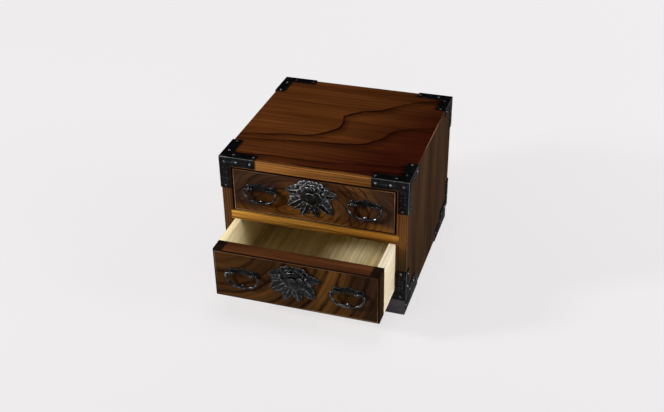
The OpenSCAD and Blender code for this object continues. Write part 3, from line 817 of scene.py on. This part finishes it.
def make_boards():
    low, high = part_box("top_board")
    base_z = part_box("bottom_board")[0].z
    corners = {
        (way, up): (
            (way * (high.x - PLANED_OFF), 0, (high.z if up > 0 else base_z) - up * PLANED_OFF),
            (way, 0, up),
        )
        for way in (-1, 1) for up in (-1, 1)
    }
    cuts = {
        "top_board": [corners[-1, 1], corners[1, 1]],
        "bottom_board": [corners[-1, -1], corners[1, -1]],
        "left_side_board": [corners[-1, 1], corners[-1, -1]],
        "right_side_board": [corners[1, 1], corners[1, -1]],
    }
    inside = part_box("right_side_board")[0].x
    ceiling, floor = low.z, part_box("bottom_board")[1].z

    # Arrises round the drawer openings take the painted shadow of the gaps
    def round_opening(face):
        place = face.calc_center_median()
        near = abs(place.x) < inside + MM and floor - MM < place.z < ceiling + MM
        return near and face.material_index == ARRIS

    for node, name in BOARDS.items():
        board = eased(node, cuts.get(node, ()), 4)
        edit(board)
        pick(board, "faces", round_opening)
        paint(board, GAP_SHADOW)
        if node in ("top_board", "left_side_board", "right_side_board"):
            pick(board, "faces", lambda face: face.normal.y < -0.9)
            paint(board, EDGE)
        done()
        sharp = node in ("left_runner", "right_runner", "dust_shelf", "mid_rail")
        edge = "golden_edge" if node == "top_board" else "golden_stile"
        finishes = some(name, name if sharp else "worn_and_highlit_arris", "painted_gap_shadow", edge)
        fit_out(board, "planed", node, "carcase", finishes)


def make_drawers():
    for level in LEVELS:
        body = level + "_drawer"
        for part, name in LININGS.items():
            node = f"{body}_{part}"
            fit_out(eased(node), "planed", node, body, some(name, name))
        node = body + "_front"
        front = merged_copy(node)
        slots_for(front, 5)
        edit(front)
        # The chamfer round the face and a thin ring inside it are painted dark, as painted shadow of the
        # gap round the front. Then comes a pale ring: wear, and a painted highlight along the arris.
        pick(front, "faces", lambda face: max(map(abs, face.normal)) < 0.9 and face.calc_area() > 5e-5)
        paint(front, GAP_SHADOW)
        face_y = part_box(node)[0].y + 0.0005
        pick(front, "faces", lambda face: face.normal.y < -0.9 and face.calc_center_median().y < face_y)
        for number, ring in ((GAP_SHADOW, 0.0012), (ARRIS, 0.0008)):
            paint(front, number)
            bpy.ops.mesh.inset(thickness=ring, depth=0)
        paint(front, FACE)
        for number, axis in ((EDGE, 2), (END, 0)):
            pick(front, "faces", lambda face: abs(face.normal[axis]) > 0.9)
            paint(front, number)
        pick(front, "edges", lambda edge: square_edge(40, 100)(edge) and edge.calc_length() > 0.05)
        bevel(SOFTENED)
        done()
        finishes = some(FRONTS[level], "worn_and_highlit_arris", "painted_gap_shadow", "front_top_edge", "front_end")
        fit_out(front, "planed", node, body, finishes)


# Corner irons and nails

# The sheet's thickness and the width of its rounded folds, in metres, then how far it reaches from the
# corner that it is folded over
THICK = 0.0015
FOLD = 0.0008
ARM = 0.057
ARM_WIDTH = 0.0155
UPRIGHT = 0.054
TOP_BAR = 0.0145
FOOT_BAR = 0.015
SIDE_LIP = 0.010
PLINTH_ARM = 0.087

# Chased marks: how far each dash of the front's arm is from the corner along x and z, and its slant
DASHES = (0.0150, 0.0182, 0.0214, 0.0345, 0.0390, 0.0435)
DASH_LEVEL = 0.0068
SLANT = radians(-35)
# Two rows of dots on the upright, and a row of small dots on the side's lip
DOT_ROWS = (0.0050, 0.0106)
DOT_START = 0.0185
DOT_STEP = 0.0059
LIP_START = 0.008
LIP_STEP = 0.0042
LIP_LEVEL = 0.0078
# Radii of the marks along x, y and z
DASH = (0.0020, 0.0004, 0.0006)
FRONT_DOT = (0.0010, 0.0004, 0.0010)
SIDE_DOT = (0.0004, 0.0010, 0.0010)
SMALL_DOT = (0.0004, 0.0006, 0.0006)


def bead(place, size, turn=(0, 0, 0)):
    made = added("uv_sphere", segments=8, ring_count=5, radius=1, location=place, scale=size, rotation=turn)
    made.data.materials.append(mark_iron)
    return made


def bent_sheet(low, high, cuts, kept, folds):
    """Sheet iron folded over the faces of a block from low to high. The block is sawn at the cuts, the
    faces that the iron doesn't cover are taken away, and what is left gets its thickness outwards. folds
    are the outer planes of the finished sheet. Where two of them meet, the fold is rounded and painted
    paler: wear, and a painted highlight along the fold."""
    middle = [(a + b) / 2 for a, b in zip(low, high)]
    size = [b - a for a, b in zip(low, high)]
    sheet = added("cube", size=1, location=middle, scale=size)
    settle(sheet)
    edit(sheet)
    for axis, value in cuts:
        bpy.ops.mesh.select_all(action="SELECT")
        normal = [float(number == axis) for number in range(3)]
        bpy.ops.mesh.bisect(plane_co=[value * part for part in normal], plane_no=normal)
    pick(sheet, "faces", lambda face: not kept(face.calc_center_median(), face.normal))
    bpy.ops.mesh.delete(type="FACE")
    bpy.ops.mesh.select_all(action="SELECT")
    bpy.ops.mesh.dissolve_limited(angle_limit=radians(1))
    done()
    carve(sheet, "SOLIDIFY", thickness=THICK, offset=1.0, use_even_offset=True)
    sheet.data.materials.append(sheet_iron)
    sheet.data.materials.append(highlit_fold_iron)

    def planes_of(edge):
        return sum(all(abs(v.co[axis] - value) < 0.00002 for v in edge.verts) for axis, value in folds)

    edit(sheet)
    pick(sheet, "edges", lambda edge: planes_of(edge) == 2)
    bevel(FOLD, 3, material=1)
    pick(sheet, "edges", lambda edge: planes_of(edge) == 1 and square_edge(60, 100)(edge))
    bevel(SOFTENED, material=0)
    done()
    return sheet


def mirrored_to_corners(master, name, finishes=(sheet_iron, highlit_fold_iron, mark_iron)):
    """The master is at the front right corner. The others are mirrored from it."""
    for side, across in SIDES.items():
        for end, along in ENDS.items():
            matrix = Matrix.Diagonal((across, -along, 1, 1))
            fit_out(copy_of(master, matrix), "forged", f"{name}_{end}_{side}", "carcase", finishes, 35)
    bpy.data.objects.remove(master)


def front_marks(edge, start, way):
    """Chased marks of an iron: dashes between the nails of the arm, two rows of dots along the upright, and
    the same dots round the corner. edge is the outer corner, start the height that the marks run from, and
    way is 1 up or -1 down."""
    marks = []
    for left in DASHES:
        place = (edge.x - left, edge.y, start + way * DASH_LEVEL)
        marks.append(bead(place, DASH, (0, way * SLANT, 0)))
    for step in range(5):
        along = start + way * (DOT_START + step * DOT_STEP)
        for across in DOT_ROWS:
            marks.append(bead((edge.x - across, edge.y, along), FRONT_DOT))
            marks.append(bead((edge.x + THICK, edge.y + across, along), SIDE_DOT))
    return marks


def make_irons():
    low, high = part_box("top_board")
    corner = Vector((high.x, low.y, high.z))
    outer = [(0, corner.x + THICK), (1, corner.y - THICK), (2, corner.z + THICK)]
    face = Vector((corner.x, corner.y - THICK, 0))

    def on_top_iron(c, n):
        dx, dy, dz = corner.x - c.x, c.y - corner.y, corner.z - c.z
        if n.z > 0.9:
            return dy < ARM_WIDTH or dx < ARM_WIDTH
        if n.y < -0.9:
            return dz < TOP_BAR or (dx < ARM_WIDTH and dz < UPRIGHT)
        if n.x > 0.9:
            return dz < SIDE_LIP or (dy < ARM_WIDTH and dz < UPRIGHT)
        return False

    low = (corner.x - ARM, corner.y, corner.z - UPRIGHT)
    high = (corner.x, corner.y + ARM, corner.z)
    across = [(0, corner.x - ARM_WIDTH), (1, corner.y + ARM_WIDTH)]
    cuts = across + [(2, corner.z - SIDE_LIP), (2, corner.z - TOP_BAR)]
    iron = bent_sheet(low, high, cuts, on_top_iron, outer)
    marks = front_marks(face, corner.z, -1)
    for step in range(11):
        along = corner.y + LIP_START + step * LIP_STEP
        marks.append(bead((corner.x + THICK, along, corner.z - LIP_LEVEL), SMALL_DOT))
    mirrored_to_corners(join([iron] + marks), "top_iron")

    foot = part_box("bottom_board")[0].z

    def on_bottom_iron(c, n):
        dx, dy, dz = corner.x - c.x, c.y - corner.y, c.z - foot
        if n.y < -0.9:
            return dz < FOOT_BAR or dx < ARM_WIDTH
        if n.x > 0.9:
            return dz < ARM_WIDTH or dy < ARM_WIDTH
        return False

    low = (corner.x - ARM, corner.y, foot)
    high = (corner.x, corner.y + ARM, foot + UPRIGHT)
    cuts = across + [(2, foot + ARM_WIDTH), (2, foot + FOOT_BAR)]
    iron = bent_sheet(low, high, cuts, on_bottom_iron, outer)
    mirrored_to_corners(join([iron] + front_marks(face, foot, 1)), "bottom_iron")

    low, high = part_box("plinth_iron_front_right")
    block_low = (high.x - THICK - PLINTH_ARM, low.y + THICK, 0.0)
    block_high = (high.x - THICK, low.y + THICK + PLINTH_ARM, high.z)
    outer = [(0, high.x), (1, low.y)]
    iron = bent_sheet(block_low, block_high, [], lambda c, n: n.y < -0.9 or n.x > 0.9, outer)
    # The front is painted lighter than the other iron, as a painted reflection of the floor; the sides keep
    # the blacker sheet, so they have a slot of their own
    slots_for(iron, 3)
    for face in iron.data.polygons:
        if face.normal.x > 0.7 and face.material_index == 0:
            face.material_index = 2
    mirrored_to_corners(iron, "plinth_iron", (plinth_sheet_painted_reflection, highlit_fold_iron, sheet_iron))

    for node in ("top_nails", "bottom_nails", "plinth_nails"):
        fit_out(merged_copy(node), "domed", node, "carcase", (nail_iron,), 50)


# Handles, in metres

# The posts' axis from the front's face, and each post from the handle's middle
AXIS_OUT = 0.0068
POST_OUT = 0.019
# A post's collar, stem and eye, and how far from the face the middles of the first two lie
COLLAR = {"vertices": 32, "radius": 0.0048, "depth": 0.0016}
COLLAR_OUT = 0.002
STEM = {"vertices": 24, "radius": 0.0026, "depth": 0.0052}
STEM_OUT = 0.0036
EYE = {"major_segments": 32, "minor_segments": 16, "major_radius": 0.00263, "minor_radius": 0.00096}
# The bail's foot below the axis, half its width, the radius of its tight bends and where its ends start
BAIL_DROP = 0.0235
BAIL_HALF = 0.0263
BEND = 0.0045
ROD_START = 0.0150
# The rod's radius: as a measure for the others, near its ends and near its foot
ROD = 0.002
THIN_ROD = 0.0016
THICK_ROD = 0.00216
# The ball at each end: its radius, and how far it is from the handle's middle
BALL = 0.0024
BALL_OUT = 0.0138


def make_bail(x, y, z):
    """A rod that is thickest at the bottom, in a wide bow below two tight bends."""
    points = [(ROD_START + step * 0.0012, 0.0, THIN_ROD) for step in range(5)]
    for step in range(1, 9):
        turn = radians(90 - step * 90 / 8)
        out = BAIL_HALF - BEND + BEND * cos(turn)
        points.append((out, -BEND + BEND * sin(turn), THIN_ROD + 0.00007 * step))
    for step in range(1, 19):
        turn = radians(step * 90 / 18)
        out = BAIL_HALF * (cos(turn) ** 0.72 if step < 18 else 0.0)
        down = -BEND - (BAIL_DROP - BEND) * sin(turn) ** 1.02
        points.append((out, down, THICK_ROD + 0.00012 * sin(turn)))
    bow = points + [(-across, up, thick) for across, up, thick in reversed(points[:-1])]
    bpy.ops.curve.primitive_nurbs_path_add(location=(0, 0, 0))
    rod = bpy.context.object
    rod.data.splines.clear()
    spline = rod.data.splines.new("POLY")
    spline.points.add(len(bow) - 1)
    for point, (across, up, thick) in zip(spline.points, bow):
        point.co = (x + across, y, z + up, 1)
        point.radius = thick / ROD
    rod.data.dimensions = "3D"
    rod.data.bevel_depth = ROD
    rod.data.bevel_resolution = 6
    rod.data.use_fill_caps = True
    take_up(rod)
    bpy.ops.object.convert(target="MESH")
    bits = [bpy.context.object]
    for way in (-1, 1):
        place = (x + way * BALL_OUT, y, z)
        bits.append(added("uv_sphere", segments=24, ring_count=14, radius=BALL, location=place))
    bail = join(bits)
    weld(bail)
    return bail


def make_posts(middle, face, y, z):
    """Two posts, each a domed collar, a stem and a rounded eye."""
    bits = []
    turn = (pi / 2, 0, 0)
    for way in (-1, 1):
        x = middle + way * POST_OUT
        collar = added("cylinder", location=(x, face - COLLAR_OUT, z), rotation=turn, **COLLAR)
        carve(collar, "BEVEL", width=0.0007, segments=3, limit_method="ANGLE", angle_limit=radians(40))
        stem = added("cylinder", location=(x, face - STEM_OUT, z), rotation=turn, **STEM)
        eye = added("torus", location=(x, y, z), rotation=(0, pi / 2, 0), **EYE)
        settle(eye)
        edit(eye)
        bpy.ops.transform.resize(value=(2.5, 1, 1), center_override=(x, y, z))
        done()
        bits += [collar, stem, eye]
    return join(bits)


def make_handles():
    """One handle is made at the upper right and copied to the other three places."""
    low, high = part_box("upper_right_posts")
    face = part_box("upper_drawer_front")[0].y
    middle = (low.x + high.x) / 2
    axis_y = face - AXIS_OUT
    axis_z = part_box("upper_right_bail")[0].z + BAIL_DROP + ROD
    bail = make_bail(middle, axis_y, axis_z)
    posts = make_posts(middle, face, axis_y, axis_z)
    plate = merged_copy("upper_right_plate")
    slots_for(plate, 2)
    carve(plate, "BEVEL", width=SOFTENED, segments=2, limit_method="ANGLE", angle_limit=radians(50),
          use_clamp_overlap=False, material=1)

    for level in LEVELS:
        body = level + "_drawer"
        for side in SIDES:
            label = f"{level}_{side}"
            matrix = Matrix.Translation(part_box(label + "_posts")[0] - low)
            fit_out(copy_of(posts, matrix), "forged", label + "_posts", body, (bail_iron,))
            fit_out(copy_of(plate, matrix), "cut", label + "_plate", body, (sheet_iron, highlit_fold_iron), 30)
            fit_out(copy_of(bail, matrix), "bent", label + "_bail", label + "_handle", (bail_iron,), 50)
        node = level + "_studs"
        fit_out(merged_copy(node), "domed", node, body, (nail_iron,), 50)
    for spare in (posts, plate, bail):
        bpy.data.objects.remove(spare)


# Peony ornament, in millimetres from the middle of the casting: x, z and the height above the front

# Leaves: root, tip, half the width, how much lower than the others, sideways bend and number of teeth
LEAVES = (
    ((-10, 20), (-43, 11), 10.0, 0.4, -2.5, 5), ((-8, 8), (-39, 0), 9.5, 0.9, -1.0, 5),
    ((-6, 6), (-40, -17), 11.5, 0.4, 1.0, 6), ((-5, 4), (-31, -22), 10.0, 1.1, 0.0, 5),
    ((-4, 3), (-19, -32), 9.5, 1.2, -1.0, 5), ((0, 2), (7.5, -31.8), 9.0, 0.4, 1.0, 5),
    ((-1, 2), (-5, -21), 8.0, 1.3, 0.0, 4), ((5, 4), (31, -22), 12.5, 0.3, -1.5, 6),
    ((9, 8), (30, -3), 9.5, 1.0, 0.0, 4), ((9, 15), (40, 12), 9.5, 0.0, 1.5, 5),
    ((10, 19), (27, 21), 5.0, 0.8, 0.0, 4),
)
# Tips of the two upper rows of petals
OUTER_TIPS = (
    (22, 24, 4), (16.5, 30.5, 3.8), (9, 32, 3.6), (2, 32.3, 3.6), (-5.5, 32.5, 3.4), (-13, 32, 3.4),
    (-20.5, 29.5, 3.4), (-27, 22.5, 3.2),
)
INNER_TIPS = (
    (15, 23.5, 6.5), (11.5, 27.5, 6.6), (4, 28.8, 7), (-4, 28.9, 7), (-12, 27, 6.6), (-18, 21.5, 6.2),
)
# The other petals: root, tip, half the width, cup, rim, ruffle, phase and arch
PETALS = (
    ((0, 18, 8), (5, 25.5, 9.4), 4.2, 1.0, 0.8, 0.15, 0.4, 0.8),
    ((-5, 18, 8), (-10, 23.5, 9.2), 4.2, 1.0, 0.8, 0.15, 1.9, 0.8),
    ((-3.5, 17, 8.5), (-3.5, 25.5, 10.2), 6.4, -1.2, 0.2, 0.1, 1.2, 1.4),
    ((-6, 14, 6), (-23.5, 13, 6.5), 5.8, 1.6, 1.8, 0.3, 0.6, 0.6),
    ((-5, 12, 6), (-20.5, 3, 5), 6.6, -0.6, 0.8, 0.2, 2.0, 1.2),
    ((6, 15, 6), (21, 18, 6.5), 5.0, 1.4, 1.6, 0.3, 3.1, 0.6),
    ((6, 11, 6), (23, 8, 5.2), 5.4, 1.2, 1.4, 0.3, 4.0, 0.6),
    ((5, 13, 7), (15, -6, 4.6), 7.6, -0.8, 0.5, 0.2, 0.5, 1.0),
    ((-3, 12, 7), (-12, -7, 4.4), 7.0, -0.8, 0.5, 0.2, 1.4, 1.0),
    ((0.5, 13, 8), (1.5, -12, 4.6), 9.0, -1.6, 0.2, 0.2, 2.5, 1.4),
    ((7, 6, 6.5), (12.5, 17, 9.4), 5.0, -0.4, 0.9, 0.15, 0.9, 0.8),
    ((-1.5, 5, 7), (-2.5, 14.8, 10.2), 6.6, -0.6, 0.9, 0.3, 3.3, 1.0),
)
# No petal stands higher than the casting in the CAD
HIGHEST = 11.6


def shaped_grid(across, along, place):
    """A grid whose points go where place(t, s) says: t runs from -1 to 1 across, s from 0 to 1 along. place
    gives x, z and the height in millimetres, and how proud the point stands, for the finish."""
    sheet = added("grid", x_subdivisions=across, y_subdivisions=along, size=2, location=(0, 0, 0))
    proud = sheet.data.attributes.new("proud", "FLOAT", "POINT")
    for number, point in enumerate(sheet.data.vertices):
        x, z, height, stands = place(point.co.x, (point.co.y + 1) / 2)
        proud.data[number].value = stands
        point.co = (x * MM, -height * MM, z * MM)
    return sheet


def aimed(root, tip):
    """Directions on the field, along from root to tip and across to the right of it, and the length."""
    along = Vector((tip[0] - root[0], tip[1] - root[1]))
    length = along.length
    along.normalize()
    return along, Vector((along.y, -along.x)), length


def petal(root, tip, half, cup, rim, ruffle, phase, arch):
    """A round-ended petal from root to tip. cup lifts its sides, rim its end and arch its middle."""
    way, side, length = aimed(root, tip)

    def place(t, s):
        wide = half * sin(pi * (0.2 + 0.56 * s)) ** 0.8
        far = length * s * (1 - 0.2 * t * t + 0.035 * s * cos(3 * pi * t + phase))
        x = root[0] + way.x * far + side.x * wide * t
        z = root[1] + way.y * far + side.y * wide * t
        height = root[2] + (tip[2] - root[2]) * s + arch * sin(pi * s) + cup * t * t * s
        height += rim * (s ** 5 - 1) + ruffle * s * s * sin(2.3 * pi * t + phase)
        return x, z, min(height, HIGHEST), max(s ** 7, abs(t) ** 7 * s)
    sheet = shaped_grid(12, 9, place)
    carve(sheet, "SOLIDIFY", thickness=0.9 * MM, offset=-1.0)
    carve(sheet, "SUBSURF", levels=1, render_levels=1)
    return sheet


def leaf(root, tip, half, low, bend, teeth):
    """A toothed leaf with a raised midrib and side veins, flat behind."""
    way, side, length = aimed(root, tip)

    def place(t, s):
        shape = 1.6 * (1 - s) ** 0.6 * (s + 0.08) ** 0.35
        saw = (s * teeth + 0.3 - 0.25 * abs(t)) % 1.0
        wide = half * shape * (1 + 0.34 * (saw - 0.5) * abs(t) * (1 - 0.6 * s))
        far = length * s
        bow = bend * sin(pi * s) + wide * t
        x = root[0] + way.x * far + side.x * bow
        z = root[1] + way.y * far + side.y * bow
        vein = max(0.0, cos(2 * pi * (s * teeth + 0.1 - 0.7 * abs(t)))) ** 5 * abs(t) ** 0.4
        rib = exp(-(t / 0.09) ** 2)
        edge = abs(t) ** 8
        dome = (4.2 - low - 1.9 * s) * (1 - 0.5 * abs(t) ** 2.2)
        height = dome + 0.6 * vein * (1 - s) + 0.9 * rib * (1 - 0.5 * s)
        return x, z, height + 0.5 * edge, max(vein * 0.8, rib, edge)
    sheet = shaped_grid(18, 40, place)
    edit(sheet)
    bpy.ops.mesh.extrude_region_move(TRANSFORM_OT_translate={"value": (0, 0, 0)})
    done()
    proud = sheet.data.attributes["proud"].data
    for number, point in enumerate(sheet.data.vertices):
        if point.select:
            point.co.y = -0.02 * MM
            proud[number].value = 0.0
    weld(sheet)
    return sheet


def make_bed():
    """The mound under the petals."""
    def place(t, s):
        turn = pi * t
        return 0.3 + 15 * s * cos(turn), 14 + 13 * s * sin(turn), 6.0 - 4.5 * s * s, 0.0
    bed = shaped_grid(24, 6, place)
    weld(bed)
    carve(bed, "SOLIDIFY", thickness=1.2 * MM, offset=-1.0)
    return bed


def make_peony():
    parts = [leaf(*row) for row in LEAVES]
    for number, tip in enumerate(OUTER_TIPS):
        parts.append(petal((tip[0] * 0.25, 15, 4.5), tip, 5.8, 1.4, 1.6, 0.5, number * 1.9, 1.0))
    for number, tip in enumerate(INNER_TIPS):
        parts.append(petal((tip[0] * 0.2, 15.5, 6.5), tip, 5.0, 1.4, 1.6, 0.4, number * 2.3, 0.8))
    parts += [petal(*row) for row in PETALS]
    parts.append(make_bed())
    return join(parts)


def make_ornaments():
    master = make_peony()
    for level in LEVELS:
        node = level + "_ornament"
        low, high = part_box(node)
        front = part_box(level + "_drawer_front")[0].y
        matrix = Matrix.Translation((0, front, (low.z + high.z) / 2))
        fit_out(copy_of(master, matrix), "cast", node, level + "_drawer", (castings_painted_per_level[level],), 50)
    bpy.data.objects.remove(master)


set_camera()
make_floor()
make_sky()
for lamp in LAMPS:
    soft_lamp(*lamp)
make_boards()
make_drawers()
make_irons()
make_handles()
make_ornaments()

bpy.context.scene.view_settings.view_transform = "Standard"
